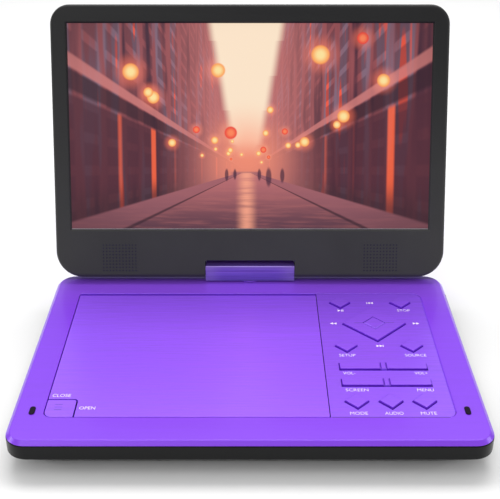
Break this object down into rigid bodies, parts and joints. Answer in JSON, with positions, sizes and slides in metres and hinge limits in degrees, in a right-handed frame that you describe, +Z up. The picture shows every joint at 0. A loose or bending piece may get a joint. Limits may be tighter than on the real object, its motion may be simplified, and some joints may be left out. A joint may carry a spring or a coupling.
{
  "type": "portable disc player",
  "caption": "Clamshell portable disc player with a wide screen on a tilt-and-swivel hinge, a lift-up disc door and a panel of keys.",
  "frame": {"origin": "under the middle of the whole object as drawn (screen leaning back), at the undersides of the feet", "axes": "+X to the user's right, +Y away from the user, +Z up"},
  "size_m": [0.265, 0.2418, 0.1975],
  "materials": {
    "case_black": "satin moulded charcoal",
    "case_purple": "satin metallic purple lacquer",
    "panel_purple": "fine brushed metallic purple",
    "key_purple": "satin metallic purple",
    "rubber_black": "matte",
    "rubber_purple": "matte",
    "screw_steel": "blackened",
    "well_black": "fine moulded texture",
    "steel": "ground",
    "zinc_frame": "zinc plated sheet",
    "motor_can": "plated",
    "board_green": "solder mask",
    "cell_wrap": "shrink wrap",
    "silicone_grey": "translucent silicone",
    "jack_black": "moulded",
    "light_clear": "light pipe",
    "white_plastic": "acetal",
    "lens_glass": "coated",
    "bezel_black": "satin charcoal",
    "screen_glass": "polarised glass front",
    "backlight_white": "diffuser",
    "cone_black": "paper cone",
    "cable_black": "sheath",
    "grille_black": "moulded"
  },
  "bodies": {
    "base": {"base_lower_case": "case_black", "base_upper_case": "case_purple", "button_panel": "panel_purple", "rubber_feet": "rubber_black", "case_screws": "screw_steel", "deck_bumpers": "rubber_purple", "disc_well": "well_black", "loader_frame": "zinc_frame", "loader_dampers": "silicone_grey", "spindle_motor": "motor_can", "guide_rails": "steel", "feed_motor": "motor_can", "main_board": "board_green", "battery_pack": "cell_wrap", "key_board": "board_green", "key_domes": "silicone_grey", "headphone_jack": "jack_black", "av_jack": "jack_black", "usb_port": "steel", "card_slot": "steel", "dc_jack": "jack_black", "status_lights": "light_clear", "door_hinge_pins": "steel", "door_catch": "steel", "swivel_bush": "white_plastic"},
    "door": {"disc_door": "panel_purple", "door_latch_hook": "well_black"},
    "open_button": {"open_button": "panel_purple"},
    "turntable": {"turntable": "well_black"},
    "lead_screw": {"lead_screw": "steel"},
    "pickup": {"pickup_sled": "white_plastic", "objective_lens": "lens_glass"},
    "play_key": {"play_key": "key_purple"},
    "stop_key": {"stop_key": "key_purple"},
    "setup_key": {"setup_key": "key_purple"},
    "source_key": {"source_key": "key_purple"},
    "enter_key": {"enter_key": "key_purple"},
    "mode_key": {"mode_key": "key_purple"},
    "audio_key": {"audio_key": "key_purple"},
    "mute_key": {"mute_key": "key_purple"},
    "nav_rubber": {"nav_rubber_pad": "silicone_grey"},
    "nav_pad": {"nav_pad": "key_purple"},
    "volume_rocker": {"volume_rocker": "key_purple"},
    "menu_rocker": {"menu_rocker": "key_purple"},
    "power_switch": {"power_switch": "jack_black"},
    "hinge": {"swivel_hub": "case_purple", "swivel_clip": "steel", "hinge_cover_front": "case_purple", "hinge_cover_rear": "case_purple", "hinge_shafts": "steel", "hinge_cable": "cable_black"},
    "lid": {"front_bezel": "bezel_black", "lid_back_cover": "case_purple", "lcd_panel": "screen_glass", "lcd_backlight": "backlight_white", "lcd_driver_board": "board_green", "speakers": "cone_black", "speaker_grilles": "grille_black", "hinge_leaves": "steel", "lid_screws": "screw_steel"}
  },
  "joints": [
    {"name": "door_hinge", "type": "hinge", "parent": "base", "child": "door", "pos_m": [-0.03505, 0.03127, 0.0196], "axis": [-1, 0, 0], "range_deg": [0, 70]},
    {"name": "open_button_press", "type": "slide", "parent": "base", "child": "open_button", "axis": [0, 0, -1], "range_m": [0, 0.0012], "stiffness_N_per_m": 400},
    {"name": "turntable_spin", "type": "hinge", "parent": "base", "child": "turntable", "pos_m": [-0.03505, -0.03234, 0.0172], "axis": [0, 0, 1], "continuous": true},
    {"name": "pickup_slide", "type": "slide", "parent": "base", "child": "pickup", "axis": [0, -1, 0], "range_m": [0, 0.031]},
    {"name": "lead_screw_turn", "type": "hinge", "parent": "base", "child": "lead_screw", "pos_m": [-0.00405, -0.07394, 0.0096], "axis": [0, 1, 0], "range_deg": [0, 3720.5]},
    {"name": "play_key_press", "type": "slide", "parent": "base", "child": "play_key", "axis": [0, 0, -1], "range_m": [0, 0.0006], "stiffness_N_per_m": 400},
    {"name": "stop_key_press", "type": "slide", "parent": "base", "child": "stop_key", "axis": [0, 0, -1], "range_m": [0, 0.0006], "stiffness_N_per_m": 400},
    {"name": "setup_key_press", "type": "slide", "parent": "base", "child": "setup_key", "axis": [0, 0, -1], "range_m": [0, 0.0006], "stiffness_N_per_m": 400},
    {"name": "source_key_press", "type": "slide", "parent": "base", "child": "source_key", "axis": [0, 0, -1], "range_m": [0, 0.0006], "stiffness_N_per_m": 400},
    {"name": "enter_key_press", "type": "slide", "parent": "base", "child": "enter_key", "axis": [0, 0, -1], "range_m": [0, 0.0006], "stiffness_N_per_m": 400},
    {"name": "mode_key_press", "type": "slide", "parent": "base", "child": "mode_key", "axis": [0, 0, -1], "range_m": [0, 0.0006], "stiffness_N_per_m": 400},
    {"name": "audio_key_press", "type": "slide", "parent": "base", "child": "audio_key", "axis": [0, 0, -1], "range_m": [0, 0.0006], "stiffness_N_per_m": 400},
    {"name": "mute_key_press", "type": "slide", "parent": "base", "child": "mute_key", "axis": [0, 0, -1], "range_m": [0, 0.0006], "stiffness_N_per_m": 400},
    {"name": "nav_tilt_front_back", "type": "hinge", "parent": "base", "child": "nav_rubber", "pos_m": [0.0793, -0.00374, 0.0179], "axis": [1, 0, 0], "range_deg": [-1.8, 1.8], "stiffness_Nm_per_rad": 0.4},
    {"name": "nav_tilt_left_right", "type": "hinge", "parent": "nav_rubber", "child": "nav_pad", "pos_m": [0.0793, -0.00374, 0.0179], "axis": [0, 1, 0], "range_deg": [-1.8, 1.8], "stiffness_Nm_per_rad": 0.4},
    {"name": "volume_rock", "type": "hinge", "parent": "base", "child": "volume_rocker", "pos_m": [0.0793, -0.05063, 0.0192], "axis": [0, 1, 0], "range_deg": [-1.6, 1.6], "stiffness_Nm_per_rad": 0.4},
    {"name": "menu_rock", "type": "hinge", "parent": "base", "child": "menu_rocker", "pos_m": [0.0793, -0.06674, 0.0192], "axis": [0, 1, 0], "range_deg": [-1.6, 1.6], "stiffness_Nm_per_rad": 0.4},
    {"name": "power_switch_slide", "type": "slide", "parent": "base", "child": "power_switch", "axis": [0, 1, 0], "range_m": [0, 0.004]},
    {"name": "screen_swivel", "type": "hinge", "parent": "base", "child": "hinge", "pos_m": [0, 0.05486, 0.022], "axis": [0, 0, 1], "range_deg": [-180, 0]},
    {"name": "screen_tilt", "type": "hinge", "parent": "hinge", "child": "lid", "pos_m": [0, 0.05486, 0.029], "axis": [-1, 0, 0], "range_deg": [-110.1, 69.9]}
  ],
  "couplings": [
    {"joint": "lead_screw_turn", "follows": "pickup_slide", "rad_per_m": 2094.4}
  ]
}
